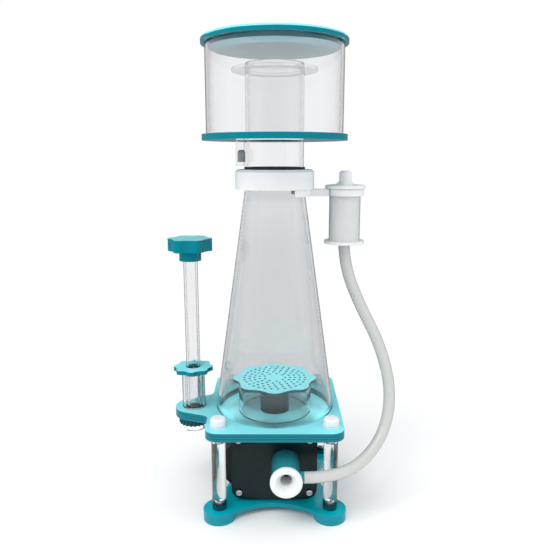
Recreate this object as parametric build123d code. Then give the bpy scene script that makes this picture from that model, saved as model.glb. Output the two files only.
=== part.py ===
"""Cone protein skimmer: clear foam tower on a teal deck, with its pump below and a collection cup on top.

Millimetres, +Z up. Inside this file every piece is placed about the tower's own axis, with -Y at the
front. save() then moves it so that the part's origin is under the middle of its box, on the floor.
"""
import os
from math import atan2, cos, degrees, hypot, pi, radians, sin, sqrt, tan

from build123d import *

# ---- clearances -------------------------------------------------------------------------------
BOND_GAP = 0.1          # radial gap of a glued or clamped joint
SLIP_GAP = 0.3          # gap between pieces that move on each other
RUN_GAP = 0.05          # radial gap of a running shaft

# ---- sheet and rod sizes ----------------------------------------------------------------------
PLATE = 3.0             # thickness of one deck plate
PAD_HEIGHT = 6.0        # foot pad
BASE_PLATE = 5.0        # bottom plate
POST_DIA = 15.0
POST_SEAT = 5.5         # height of the teal seat under each post
POST_LENGTH = 78.0      # clear post between its seat and the deck

# ---- plan of the deck and base ----------------------------------------------------------------
DECK_WIDTH = 142.0
POST_INSET = 13.0       # from the deck's side edge to a post's centre
POST_FRONT = 57.5       # front posts, in front of the tower's axis
POST_BACK = 63.5        # rear posts, behind the tower's axis
DECK_LIP = 19.5         # deck edge beyond the post's centre, front and back
DECK_CORNER = 14.0
FOOT_RADIUS = 17.0
ARCH_INSET = 7.5        # the base's arched edges reach this far inside the line of the posts

# ---- cone and riser ---------------------------------------------------------------------------
CONE_BASE_DIA = 129.0
CONE_TOP_DIA = 62.0
CONE_HEIGHT = 237.5     # from the deck's top to the collar
CONE_WALL = 3.0
CONE_SOCKET = 5.0       # straight length that enters the collar
RISER_DIA = 32.0
RISER_BORE = 26.0
RISER_RISE = 24.5       # the riser stands this high above the deck's floor plate

# ---- bubble plate -----------------------------------------------------------------------------
RING_DIA = 80.0
RING_WALL = 3.0
RING_HEIGHT = 33.0
LOBE_DIA = 92.0
NOTCH_DIA = 82.0
BUBBLE_HOLE_DIA = 2.8
BUBBLE_RINGS = ((11.5, 9), (17.0, 15), (22.5, 20), (28.0, 25), (33.5, 30))   # ring radius, holes

# ---- collar, neck and cup ---------------------------------------------------------------------
COLLAR_DIA = 82.0
COLLAR_HEIGHT = 20.0
COLLAR_CHAMFER = 2.5
LEDGE = 2.0             # ledge in the collar that carries the neck
SEAL_HEIGHT = 2.4
SEAL_THICK = 1.2
NECK_DIA = 60.0
NECK_WALL = 2.5
NECK_SHOWN = 29.0       # neck between the collar and the cup
CUP_FLOOR_DIA = 149.0
CUP_FLOOR = 6.0
CUP_DIA = 140.0
CUP_WALL = 3.0
CUP_HEIGHT = 87.2       # height of the clear wall
NECK_IN_CUP = 69.0      # the neck stands this high above the cup's floor
SPLASH_DIA = 87.0
SPLASH_DROP = 7.5       # splash ring's underside, below the neck's mouth
SPLASH = 3.0
LID_DIA = 148.0
LID_COVER = 5.5
LID_PLUG = 4.5
LID_PLUG_GAP = 0.5
LID_EDGE = 2.6          # rounding of the lid's upper edge

# ---- cup drain --------------------------------------------------------------------------------
DRAIN_LEFT = 3.5        # drain's axis, left of the line of the neck's side
DRAIN_Y = -16.0
DRAIN_DIA = 11.0
DRAIN_BORE = 8.4
DRAIN_LENGTH = 25.5
PLUG_LENGTH = 12.0
PLUG_UP = 4.0           # plug's foot above the spigot's mouth

# ---- water-level valve ------------------------------------------------------------------------
VALVE_OUT = 18.0        # valve's axis, left of the deck's edge
VALVE_Y = -7.0
EAR_RADIUS = 20.5
EAR_ROOT_FRONT = -40.0
EAR_ROOT_BACK = 30.0
EAR_FILLET = 8.0
VALVE_BORE = 19.0
VALVE_WALL = 3.0
VALVE_TUBE = 41.0
STAR_DIA = 42.6
STAR_NOTCH_DIA = 37.0
STAR_LOBES = 8
STAR_THICK = 4.4
STAR_SPIGOT = 4.0
STEM_ROOM = 2.0         # between the stem and the valve tube's bore
STEM_WALL = 2.0
KNOB_DIA = 46.6
KNOB_NOTCH_DIA = 39.0
KNOB_LOBES = 6
KNOB_HEIGHT = 13.0
KNOB_RISE = 173.5       # from the deck's top to the knob's underside
KNOB_HUB_WALL = 4.0     # round the stem
KNOB_HUB = 10.5
SLIDER_LENGTH = 13.0
SLIDER_BELOW = 7.5      # the closed slider reaches this far below the deck
SLIDER_SEAL = 2.0       # height of the seal ring on the slider
SLIDER_SEAL_DEPTH = 1.2
STEM_SOCKET = 7.0       # the stem enters the slider this far
STUB_LENGTH = 16.0
STUB_STEP = 7.0         # length of the stub's free end
STUB_SHOULDER = 0.5     # the stub is thicker above its free end
LOCK_DIA = 34.0
LOCK_RIBS = 22
LOCK_RIB_DIA = 2.6
LOCK_HEIGHT = 8.6

# ---- air silencer -----------------------------------------------------------------------------
SILENCER_X = 73.5
SILENCER_DIA = 32.5
SILENCER_BORE = 28.5
SILENCER_FLANGE_DIA = 42.0
SILENCER_FLANGE = 3.0
SILENCER_LENGTH = 54.0  # height of the clear tube
SILENCER_SPIGOT = 4.0
FOAM_ROOM = 8.0         # room above the foam, under the cap's spigot
CAP_DISC = 3.5
CAP_KNOB_DIA = 13.0
CAP_RISE = 18.2         # cap's height above the tube
CAP_CONE = 4.0          # height of the slope up to the knob
AIR_BORE = 5.0
BRACKET = 7.0
BRACKET_ARM = 13.0      # width of the arm
BRACKET_GAP = 2.0       # room between the pad and the cone
BRACKET_RIM = 6.0       # width of the pad under the collar
BRACKET_PAD_X = 20.0    # the pad starts this far right of the tower's axis
CLIP_WALL = 3.2
CLIP_OPENING = 100.0    # degrees left open in the clip

# ---- pump -------------------------------------------------------------------------------------
PUMP_X = 11.5
PUMP_AXIS_UP = 42.0     # rotor's axis above the pump's underside
PUMP_FRONT = -47.0
PUMP_COVER = 6.0
PUMP_BACK = 18.0
PUMP_LEFT = -46.0
PUMP_RIGHT = 45.0
PUMP_HEIGHT = 76.0
PUMP_PAD = 3.0
PUMP_PAD_DIA = 10.0
PUMP_CORNER = 12.0
CHAMBER_DIA = 58.0
CHAMBER_BACK = 14.0
INTAKE_BORE = 24.6
SOCKET_DEPTH = 6.0
MOTOR_DIA = 66.0
MOTOR_BACK = 70.0
MOTOR_RIB = 2.0
MOTOR_RIBS = 6
END_CAP = 4.0
ROTOR_DIA = 26.0
ROTOR_LENGTH = 38.0
ROTOR_WELL = 1.0        # radial water gap round the rotor
WELL_WALL = 2.0
STATOR_DIA = 58.0
STATOR_LENGTH = 32.0
SHAFT_DIA = 4.0
BUSH_DIA = 9.0
BUSH_LENGTH = 5.0
WHEEL_DIA = 50.0
WHEEL_DISC = 3.0
WHEEL_PIN_DIA = 2.6
WHEEL_PIN = 18.0
WHEEL_PIN_RINGS = ((12.0, 8), (17.0, 12), (22.0, 16))     # ring radius, pins
TERMINAL_WIDTH = 11.0   # cable housing on the pump's left side
TERMINAL_UP = 11.0      # above the pump's underside
TERMINAL_HEIGHT = 45.0
TERMINAL_SETBACK = 5.0  # behind the front cover
TERMINAL_CHAMFER = 10.0
GLAND_DIA = 12.0
GLAND_BORE = 6.4
GLAND_LENGTH = 14.0
COVER_SCREW_DIA = 6.5
COVER_SCREW_HEAD = 2.0
COVER_SCREW_INSET = 8.0

# ---- venturi intake ---------------------------------------------------------------------------
VENTURI_WALL = 3.0
VENTURI_LENGTH = 37.0
NOZZLE_RIM = 0.9        # nozzle's lip stands this far outside the tube
NOZZLE_LIP = 4.7
NOZZLE_PLUG = 5.0       # length that fills the tube
NOZZLE_THROAT = 15.0    # narrower length behind it
NOZZLE_THROAT_DIA = 17.0
NOZZLE_BORE = 12.0
NOZZLE_MOUTH = 22.0
BARB_Y = -76.0
BARB_DIA = 8.0
BARB_BORE = 4.4
BARB_FLANGE_DIA = 12.0
BARB_FLANGE = 3.0
BARB_LENGTH = 14.0

# ---- thumb screws and foot screws -------------------------------------------------------------
THUMB_DIA = 16.0
THUMB_HEIGHT = 7.2
THUMB_ROUND = 2.6
THUMB_SHANK_DIA = 8.0
THUMB_REACH = 8.5       # shank below the deck
WASHER_DIA = 17.4
WASHER = 1.2
FOOT_SCREW_DIA = 6.0
FOOT_SCREW_HEAD_DIA = 11.0
FOOT_SCREW_HEAD = 3.4
FOOT_SCREW_REACH = 14.0  # into the seat and the post

# ---- air hose ---------------------------------------------------------------------------------
HOSE_DIA = 12.0

# ---- heights and places worked out from the sizes above ---------------------------------------
BASE_Z = PAD_HEIGHT + BASE_PLATE
POST_FOOT_Z = BASE_Z + POST_SEAT
DECK_FLOOR_Z = POST_FOOT_Z + POST_LENGTH
CHANNEL_Z = DECK_FLOOR_Z + PLATE
TOP_PLATE_Z = CHANNEL_Z + PLATE
DECK_Z = TOP_PLATE_Z + PLATE
DECK_FRONT = -(POST_FRONT + DECK_LIP)
DECK_BACK = POST_BACK + DECK_LIP
POST_X = DECK_WIDTH / 2 - POST_INSET
POSTS = {
    "front_left": (-POST_X, -POST_FRONT),
    "front_right": (POST_X, -POST_FRONT),
    "rear_left": (-POST_X, POST_BACK),
    "rear_right": (POST_X, POST_BACK),
}
POST_POINTS = tuple(POSTS.values())
NECK_BORE = NECK_DIA - 2 * NECK_WALL
DRAIN_X = -(NECK_DIA / 2 + DRAIN_LEFT)
VALVE_X = -(DECK_WIDTH / 2 + VALVE_OUT)
VALVE_DIA = VALVE_BORE + 2 * VALVE_WALL
STEM_DIA = VALVE_BORE - 2 * STEM_ROOM
STEM_BORE = STEM_DIA - 2 * STEM_WALL
KNOB_HUB_DIA = STEM_DIA + 2 * KNOB_HUB_WALL
VENTURI_DIA = INTAKE_BORE + 2 * VENTURI_WALL
NOZZLE_DIA = VENTURI_DIA + 2 * NOZZLE_RIM
RING_TOP_Z = CHANNEL_Z + RING_HEIGHT
RISER_TOP_Z = CHANNEL_Z + RISER_RISE
CONE_TOP_Z = DECK_Z + CONE_HEIGHT
COLLAR_TOP_Z = CONE_TOP_Z + COLLAR_HEIGHT
LEDGE_TOP_Z = CONE_TOP_Z + CONE_SOCKET + LEDGE
CUP_FLOOR_Z = COLLAR_TOP_Z + NECK_SHOWN
CUP_INSIDE_Z = CUP_FLOOR_Z + CUP_FLOOR
CUP_TOP_Z = CUP_INSIDE_Z + CUP_HEIGHT
NECK_FOOT_Z = LEDGE_TOP_Z + SLIP_GAP
NECK_TOP_Z = CUP_INSIDE_Z + NECK_IN_CUP
LID_Z = CUP_TOP_Z + SLIP_GAP
DRAIN_MOUTH_Z = CUP_FLOOR_Z - DRAIN_LENGTH
VALVE_TOP_Z = DECK_Z + VALVE_TUBE
STAR_Z = VALVE_TOP_Z + SLIP_GAP
KNOB_Z = DECK_Z + KNOB_RISE
KNOB_TOP_Z = KNOB_Z + KNOB_HEIGHT
SLIDER_FOOT_Z = DECK_FLOOR_Z - SLIDER_BELOW
SLIDER_TOP_Z = SLIDER_FOOT_Z + SLIDER_LENGTH
STUB_FOOT_Z = DECK_FLOOR_Z - STUB_LENGTH
SILENCER_TUBE_Z = CONE_TOP_Z - SILENCER_LENGTH
SILENCER_FOOT_Z = SILENCER_TUBE_Z - SILENCER_FLANGE
CAP_KNOB_TOP_Z = CONE_TOP_Z + SLIP_GAP + CAP_RISE
BRACKET_Z = CONE_TOP_Z - BRACKET
PUMP_FOOT_Z = BASE_Z + PUMP_PAD
PUMP_Z = PUMP_FOOT_Z + PUMP_AXIS_UP
PUMP_TOP_Z = PUMP_FOOT_Z + PUMP_HEIGHT
CHAMBER_FRONT = PUMP_FRONT + PUMP_COVER
TERMINAL_LEFT = PUMP_LEFT - TERMINAL_WIDTH
TERMINAL_BOTTOM_Z = PUMP_FOOT_Z + TERMINAL_UP
TERMINAL_TOP_Z = TERMINAL_BOTTOM_Z + TERMINAL_HEIGHT
VENTURI_FRONT = PUMP_FRONT - VENTURI_LENGTH
NOZZLE_FRONT = VENTURI_FRONT - SLIP_GAP - NOZZLE_LIP
BARB_X = PUMP_X + VENTURI_DIA / 2 + BARB_FLANGE

# The part's box runs from the knob to the silencer's flange and from the nozzle to the deck's back.
TOWER_X = ((KNOB_DIA / 2 - VALVE_X) - (SILENCER_X + SILENCER_FLANGE_DIA / 2)) / 2
TOWER_Y = -(NOZZLE_FRONT + DECK_BACK) / 2

# The hose leaves the silencer's foot, hangs out to the right and comes round the front post to the barb.
HOSE_ROUTE = (
    (SILENCER_X, 0.0, SILENCER_FOOT_Z),
    (74.5, -1.5, SILENCER_FOOT_Z - 24),
    (90.0, -7.5, SILENCER_FOOT_Z - 64),
    (113.0, -16.0, SILENCER_FOOT_Z - 108),
    (124.0, -28.0, SILENCER_FOOT_Z - 154),
    (116.5, -43.0, PUMP_Z + 34),
    (91.0, -62.0, PUMP_Z + 8),
    (58.0, BARB_Y, PUMP_Z),
    (BARB_X, BARB_Y, PUMP_Z),
)

UP = (Align.CENTER, Align.CENTER, Align.MIN)


# ---- shape helpers ----------------------------------------------------------------------------
def disc(dia, bottom, top, x=0.0, y=0.0):
    """Upright cylinder between two heights."""
    return Pos(x, y, bottom) * Cylinder(dia / 2, top - bottom, align=UP)


def tube(dia, bore, bottom, top, x=0.0, y=0.0):
    """Upright tube between two heights."""
    return disc(dia, bottom, top, x, y) - disc(bore, bottom, top, x, y)


def rod_y(dia, front, back, x=PUMP_X, z=PUMP_Z):
    """Cylinder along Y between two places."""
    return Pos(x, back, z) * Rot(90, 0, 0) * Cylinder(dia / 2, back - front, align=UP)


def rod_x(dia, left, right, y, z):
    """Cylinder along X between two places."""
    return Pos(left, y, z) * Rot(0, 90, 0) * Cylinder(dia / 2, right - left, align=UP)


def block(left, right, front, back, bottom, top):
    """Box between six planes."""
    size = (right - left, back - front, top - bottom)
    return Pos((left + right) / 2, (front + back) / 2, (bottom + top) / 2) * Box(*size)


def turned(points, x=0.0, y=0.0):
    """Solid of revolution about an upright axis, from radius and height pairs."""
    outline = Polyline(*[(r, 0, z) for r, z in points], close=True)
    return Pos(x, y, 0) * revolve(make_face(outline), Axis.Z)


def raised(sketch, bottom, top):
    """A plan outline made into a plate between two heights."""
    return Pos(0, 0, bottom) * extrude(sketch, top - bottom)


def wavy(lobes, outer_dia, inner_dia):
    """Outline of tangent arcs that swings between two diameters once for each lobe."""
    middle = sqrt(outer_dia * inner_dia) / 2     # radius where a lobe's arc runs into a notch's arc
    step = pi / lobes

    def point(radius, turns):
        return (radius * cos(turns * step), radius * sin(turns * step))

    arcs = []
    for i in range(2 * lobes):
        crest = (outer_dia if i % 2 == 0 else inner_dia) / 2
        arcs.append(ThreePointArc(point(middle, i - 0.5), point(crest, i), point(middle, i + 0.5)))
    return make_face(Wire(arcs))


def ring_of(radius, count, centre=(0.0, 0.0)):
    """Points spread evenly round a circle."""
    step = 2 * pi / count
    return [(centre[0] + radius * cos(step * i), centre[1] + radius * sin(step * i)) for i in range(count)]


# ---- base -------------------------------------------------------------------------------------
def base_outline():
    """Four round feet joined by edges that arch inwards and run tangent into them."""
    middle_y = (POST_BACK - POST_FRONT) / 2
    half_x = POST_X
    half_y = (POST_BACK + POST_FRONT) / 2
    outline = Pos(0, middle_y) * Rectangle(2 * half_x, 2 * half_y)
    arches = []
    for turn, half_chord, reach in ((0, half_x, half_y), (90, half_y, half_x), (180, half_x, half_y), (270, half_y, half_x)):
        radius = (half_chord**2 + ARCH_INSET**2 - FOOT_RADIUS**2) / (2 * (FOOT_RADIUS + ARCH_INSET))
        centre = reach - ARCH_INSET + radius
        web = make_face(Polyline((-half_chord, reach), (half_chord, reach), (0, centre), close=True))
        outline += Pos(0, middle_y) * Rot(0, 0, turn) * web
        arches.append(Pos(0, middle_y) * Rot(0, 0, turn) * Pos(0, centre) * Circle(radius))
    for arch in arches:
        outline -= arch
    for x, y in POST_POINTS:
        outline += Pos(x, y) * Circle(FOOT_RADIUS)
    return outline


def bottom_plate():
    plate = raised(base_outline(), PAD_HEIGHT, BASE_Z)
    for x, y in POST_POINTS:
        plate -= disc(FOOT_SCREW_DIA + 2 * BOND_GAP, PAD_HEIGHT, BASE_Z, x, y)
    return plate


def foot_pads():
    recess = FOOT_SCREW_HEAD_DIA + 2 * SLIP_GAP
    return [tube(2 * FOOT_RADIUS, recess, 0, PAD_HEIGHT, x, y) for x, y in POST_POINTS]


def post_seats():
    hole = FOOT_SCREW_DIA + 2 * BOND_GAP
    return [tube(POST_DIA, hole, BASE_Z, POST_FOOT_Z, x, y) for x, y in POST_POINTS]


def post(x, y):
    """Clear rod, bored at the top for a thumb screw and at the foot for a foot screw."""
    rod = disc(POST_DIA, POST_FOOT_Z, DECK_FLOOR_Z, x, y)
    rod -= disc(THUMB_SHANK_DIA + 2 * SLIP_GAP, DECK_FLOOR_Z - THUMB_REACH - 1, DECK_FLOOR_Z, x, y)
    return rod - disc(FOOT_SCREW_DIA + 2 * BOND_GAP, POST_FOOT_Z, PAD_HEIGHT + FOOT_SCREW_REACH + 1, x, y)


def foot_screws():
    screws = []
    for x, y in POST_POINTS:
        head = disc(FOOT_SCREW_HEAD_DIA, PAD_HEIGHT - FOOT_SCREW_HEAD, PAD_HEIGHT, x, y)
        screws.append(head + disc(FOOT_SCREW_DIA, PAD_HEIGHT, PAD_HEIGHT + FOOT_SCREW_REACH, x, y))
    return screws


# ---- deck -------------------------------------------------------------------------------------
def deck_outline():
    """Rounded rectangle with an ear for the valve at its left."""
    depth = DECK_BACK - DECK_FRONT
    plate = Pos(0, (DECK_BACK + DECK_FRONT) / 2) * RectangleRounded(DECK_WIDTH, depth, DECK_CORNER)
    root_x = -DECK_WIDTH / 2 + DECK_CORNER
    corners = [Pos(root_x, EAR_ROOT_FRONT) * Circle(1), Pos(root_x, EAR_ROOT_BACK) * Circle(1)]
    ear = make_hull([edge for c in corners for edge in c.edges()] + (Pos(VALVE_X, VALVE_Y) * Circle(EAR_RADIUS)).edges())
    outline = plate + ear
    edge_x = -DECK_WIDTH / 2
    roots = [v for v in outline.vertices() if abs(v.X - edge_x) < 0.01 and EAR_ROOT_FRONT < v.Y < EAR_ROOT_BACK]
    return fillet(roots, EAR_FILLET)


def deck_plate(bottom, opening_dia):
    """One deck plate with its round opening, the valve's bore and the thumb screws' holes."""
    plate = raised(deck_outline(), bottom, bottom + PLATE)
    plate -= disc(opening_dia, bottom, bottom + PLATE)
    plate -= disc(VALVE_BORE, bottom, bottom + PLATE, VALVE_X, VALVE_Y)
    for x, y in POST_POINTS:
        plate -= disc(THUMB_SHANK_DIA + 2 * SLIP_GAP, bottom, bottom + PLATE, x, y)
    return plate


def deck_floor_plate():
    return deck_plate(DECK_FLOOR_Z, RISER_DIA + 2 * BOND_GAP)


def deck_channel_plate():
    """Middle plate: its slot carries the water from under the cone to the valve."""
    plate = deck_plate(CHANNEL_Z, CONE_BASE_DIA - 2 * CONE_WALL)
    length = hypot(VALVE_X, VALVE_Y) - CONE_BASE_DIA / 2 + 2 * CONE_WALL
    angle = degrees(atan2(-VALVE_Y, -VALVE_X))
    slot = Pos(VALVE_X, VALVE_Y, CHANNEL_Z) * Rot(0, 0, angle) * Pos(length / 2, 0, 0)
    return plate - slot * Box(length, VALVE_BORE, PLATE, align=UP)


def deck_top_plate():
    return deck_plate(TOP_PLATE_Z, CONE_BASE_DIA + 2 * BOND_GAP)


def thumb_screw(x, y):
    """Domed head over a plain shank that stands for its thread."""
    head_z = DECK_Z + WASHER + SLIP_GAP
    head = disc(THUMB_DIA, head_z, head_z + THUMB_HEIGHT, x, y)
    head = fillet(head.edges().group_by(Axis.Z)[-1], THUMB_ROUND)
    return head + disc(THUMB_SHANK_DIA, DECK_FLOOR_Z - THUMB_REACH, head_z, x, y)


def washers():
    hole = THUMB_SHANK_DIA + 2 * SLIP_GAP
    return [tube(WASHER_DIA, hole, DECK_Z, DECK_Z + WASHER, x, y) for x, y in POST_POINTS]


# ---- reaction cone ----------------------------------------------------------------------------
def cone_shell():
    base = CONE_BASE_DIA / 2
    top = CONE_TOP_DIA / 2
    socket_z = CONE_TOP_Z + CONE_SOCKET
    outside = [(base, TOP_PLATE_Z), (base, DECK_Z), (top, CONE_TOP_Z), (top, socket_z)]
    inside = [(r - CONE_WALL, z) for r, z in reversed(outside)]
    return turned(outside + inside)


def bubble_plate():
    outline = wavy(8, LOBE_DIA, NOTCH_DIA)
    for radius, count in BUBBLE_RINGS:
        outline -= Sketch() + [Pos(x, y) * Circle(BUBBLE_HOLE_DIA / 2) for x, y in ring_of(radius, count)]
    return raised(outline, RING_TOP_Z, RING_TOP_Z + PLATE)


def bubble_ring():
    return tube(RING_DIA, RING_DIA - 2 * RING_WALL, CHANNEL_Z, RING_TOP_Z)


def riser_pipe():
    return tube(RISER_DIA, RISER_BORE, PUMP_TOP_Z - SOCKET_DEPTH, RISER_TOP_Z)


# ---- collar and cup ---------------------------------------------------------------------------
def collar():
    """Collar on the cone's top: a socket below, a ledge, and the neck's bore above."""
    body = disc(COLLAR_DIA, CONE_TOP_Z, COLLAR_TOP_Z)
    body = chamfer(body.edges().group_by(Axis.Z)[-1], COLLAR_CHAMFER)
    body -= disc(CONE_TOP_DIA + 2 * BOND_GAP, CONE_TOP_Z, CONE_TOP_Z + CONE_SOCKET)
    body -= disc(CONE_TOP_DIA - 2 * CONE_WALL, CONE_TOP_Z, COLLAR_TOP_Z)
    return body - disc(NECK_DIA + 2 * SLIP_GAP, LEDGE_TOP_Z, COLLAR_TOP_Z)


def neck_seal():
    bore = NECK_DIA + 2 * SLIP_GAP
    return tube(bore + 2 * SEAL_THICK, bore, COLLAR_TOP_Z, COLLAR_TOP_Z + SEAL_HEIGHT)


def neck_tube():
    return tube(NECK_DIA, NECK_BORE, NECK_FOOT_Z, NECK_TOP_Z)


def splash_ring():
    bottom = NECK_TOP_Z - SPLASH_DROP
    return tube(SPLASH_DIA, NECK_DIA + 2 * BOND_GAP, bottom, bottom + SPLASH)


def cup_wall():
    return tube(CUP_DIA, CUP_DIA - 2 * CUP_WALL, CUP_INSIDE_Z, CUP_TOP_Z)


def cup_floor():
    plate = tube(CUP_FLOOR_DIA, NECK_DIA + 2 * BOND_GAP, CUP_FLOOR_Z, CUP_INSIDE_Z)
    return plate - disc(DRAIN_BORE, CUP_FLOOR_Z, CUP_INSIDE_Z, DRAIN_X, DRAIN_Y)


def drain_spigot():
    return tube(DRAIN_DIA, DRAIN_BORE, DRAIN_MOUTH_Z, CUP_FLOOR_Z, DRAIN_X, DRAIN_Y)


def drain_plug():
    foot = DRAIN_MOUTH_Z + PLUG_UP
    dia = DRAIN_BORE - 2 * SLIP_GAP
    plug = disc(dia, foot, foot + PLUG_LENGTH, DRAIN_X, DRAIN_Y)
    return fillet(plug.edges().group_by(Axis.Z)[-1], dia / 3)


def lid_cover():
    cover = disc(LID_DIA, LID_Z, LID_Z + LID_COVER)
    return fillet(cover.edges().group_by(Axis.Z)[-1], LID_EDGE)


def lid_plug():
    """Disc under the cover that centres it in the cup."""
    return disc(CUP_DIA - 2 * CUP_WALL - 2 * LID_PLUG_GAP, LID_Z - LID_PLUG, LID_Z)


# ---- valve ------------------------------------------------------------------------------------
def valve_tube():
    return tube(VALVE_DIA, VALVE_BORE, DECK_Z, VALVE_TOP_Z, VALVE_X, VALVE_Y)


def star_nut():
    """Lobed nut on top of the valve tube, with a spigot in the tube and a hole for the stem."""
    star = Pos(VALVE_X, VALVE_Y, 0) * raised(wavy(STAR_LOBES, STAR_DIA, STAR_NOTCH_DIA), STAR_Z, STAR_Z + STAR_THICK)
    star += disc(VALVE_BORE - 2 * SLIP_GAP, STAR_Z - STAR_SPIGOT, STAR_Z, VALVE_X, VALVE_Y)
    return star - disc(STEM_DIA + 2 * SLIP_GAP, STAR_Z - STAR_SPIGOT, STAR_Z + STAR_THICK, VALVE_X, VALVE_Y)


def valve_stem():
    foot = SLIDER_TOP_Z - STEM_SOCKET + SLIP_GAP
    return tube(STEM_DIA, STEM_BORE, foot, KNOB_Z, VALVE_X, VALVE_Y)


def valve_knob():
    """Lobed grip over a round hub that is glued round the stem's top."""
    grip = Pos(VALVE_X, VALVE_Y, 0) * raised(wavy(KNOB_LOBES, KNOB_DIA, KNOB_NOTCH_DIA), KNOB_Z, KNOB_TOP_Z)
    hub = tube(KNOB_HUB_DIA, STEM_DIA + 2 * BOND_GAP, KNOB_Z - KNOB_HUB, KNOB_Z, VALVE_X, VALVE_Y)
    return grip + hub


def slider_dia():
    return VALVE_BORE - 2 * SLIP_GAP


def valve_slider():
    """Sliding stopper in the deck's bore. The stem turns in its socket."""
    body = disc(slider_dia(), SLIDER_FOOT_Z, SLIDER_TOP_Z, VALVE_X, VALVE_Y)
    body -= disc(STEM_DIA + 2 * SLIP_GAP, SLIDER_TOP_Z - STEM_SOCKET, SLIDER_TOP_Z, VALVE_X, VALVE_Y)
    return body - slider_groove()


def slider_groove():
    bottom = SLIDER_FOOT_Z + SLIDER_SEAL
    bore = slider_dia() - 2 * SLIDER_SEAL_DEPTH
    return tube(slider_dia() + 1, bore, bottom, bottom + SLIDER_SEAL, VALVE_X, VALVE_Y)


def slider_seal():
    bottom = SLIDER_FOOT_Z + SLIDER_SEAL
    dia = VALVE_BORE - 2 * RUN_GAP
    bore = slider_dia() - 2 * SLIDER_SEAL_DEPTH
    return tube(dia, bore, bottom, bottom + SLIDER_SEAL, VALVE_X, VALVE_Y)


def outlet_stub():
    """Outlet under the ear, a little thicker where the lock ring turns on it."""
    step_z = STUB_FOOT_Z + STUB_STEP
    body = disc(VALVE_DIA, STUB_FOOT_Z, step_z, VALVE_X, VALVE_Y)
    body += disc(VALVE_DIA + 2 * STUB_SHOULDER, step_z, DECK_FLOOR_Z, VALVE_X, VALVE_Y)
    return body - disc(VALVE_BORE, STUB_FOOT_Z, DECK_FLOOR_Z, VALVE_X, VALVE_Y)


def lock_ring():
    """Ribbed ring that turns on the outlet, under the ear."""
    top = DECK_FLOOR_Z - SLIP_GAP
    centre = (VALVE_X, VALVE_Y)
    ring = disc(LOCK_DIA - LOCK_RIB_DIA, top - LOCK_HEIGHT, top, *centre)
    for x, y in ring_of((LOCK_DIA - LOCK_RIB_DIA) / 2, LOCK_RIBS, centre):
        ring += disc(LOCK_RIB_DIA, top - LOCK_HEIGHT, top, x, y)
    return ring - disc(VALVE_DIA + 2 * STUB_SHOULDER + 2 * SLIP_GAP, top - LOCK_HEIGHT, top, *centre)


# ---- silencer ---------------------------------------------------------------------------------
def silencer_bracket():
    """Curved pad under the collar's right side, an arm, and an open clip round the silencer's front."""
    inner = CONE_TOP_DIA / 2 + BRACKET_GAP
    ring = Circle(inner + BRACKET_RIM) - Circle(inner)
    ring -= Pos(BRACKET_PAD_X - COLLAR_DIA / 2, 0) * Rectangle(COLLAR_DIA, COLLAR_DIA)
    clip_outer = SILENCER_DIA / 2 + CLIP_WALL
    clip = Circle(clip_outer)
    arm_end = SILENCER_X - SILENCER_DIA / 2 - CLIP_WALL / 2
    arm = Pos((arm_end + inner + 1) / 2, -BRACKET_ARM / 2) * Rectangle(arm_end - inner - 1, BRACKET_ARM)
    gap_points = [(0.0, 0.0)]
    for angle in (90 - CLIP_OPENING, 90 - CLIP_OPENING / 2, 90):
        gap_points.append((2 * clip_outer * cos(radians(angle)), 2 * clip_outer * sin(radians(angle))))
    clip -= make_face(Polyline(*gap_points, close=True))
    outline = ring + arm + Pos(SILENCER_X, 0) * clip
    outline -= Pos(SILENCER_X, 0) * Circle(SILENCER_DIA / 2 + BOND_GAP)
    return raised(outline, BRACKET_Z, CONE_TOP_Z)


def silencer_tube():
    return tube(SILENCER_DIA, SILENCER_BORE, SILENCER_TUBE_Z, CONE_TOP_Z, SILENCER_X)


def silencer_base():
    """Foot flange with a spigot in the tube and a barb in the hose."""
    body = disc(SILENCER_FLANGE_DIA, SILENCER_FOOT_Z, SILENCER_TUBE_Z, SILENCER_X)
    body += disc(SILENCER_BORE - 2 * BOND_GAP, SILENCER_TUBE_Z, SILENCER_TUBE_Z + SILENCER_SPIGOT, SILENCER_X)
    body += disc(BARB_DIA, SILENCER_FOOT_Z - BARB_LENGTH, SILENCER_FOOT_Z, SILENCER_X)
    return body - disc(BARB_BORE, SILENCER_FOOT_Z - BARB_LENGTH, SILENCER_TUBE_Z + SILENCER_SPIGOT, SILENCER_X)


def silencer_foam():
    top = CONE_TOP_Z - SILENCER_SPIGOT - FOAM_ROOM
    dia = SILENCER_BORE - 2 * SLIP_GAP
    return disc(dia, SILENCER_TUBE_Z + SILENCER_SPIGOT, top, SILENCER_X)


def silencer_cap():
    """Cap that lifts off the tube: flange, slope and a round inlet."""
    rim = SILENCER_FLANGE_DIA / 2
    knob = CAP_KNOB_DIA / 2
    flange_z = CONE_TOP_Z + SLIP_GAP
    slope_z = flange_z + CAP_DISC
    spigot = SILENCER_BORE / 2 - SLIP_GAP
    points = [(AIR_BORE / 2, flange_z - SILENCER_SPIGOT), (spigot, flange_z - SILENCER_SPIGOT), (spigot, flange_z)]
    points += [(rim, flange_z), (rim, slope_z - 1), (rim - 1, slope_z), (knob + 3, slope_z + 1)]
    points += [(knob, slope_z + CAP_CONE), (knob, CAP_KNOB_TOP_Z - 2), (knob - 2, CAP_KNOB_TOP_Z)]
    points += [(AIR_BORE / 2, CAP_KNOB_TOP_Z)]
    return turned(points, SILENCER_X)


# ---- pump -------------------------------------------------------------------------------------
def rounded_block(left, right, front, back, bottom, top, corner):
    """Block whose four edges along Y are rounded."""
    body = block(left, right, front, back, bottom, top)
    return fillet(body.edges().filter_by(Axis.Y), corner)


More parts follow.
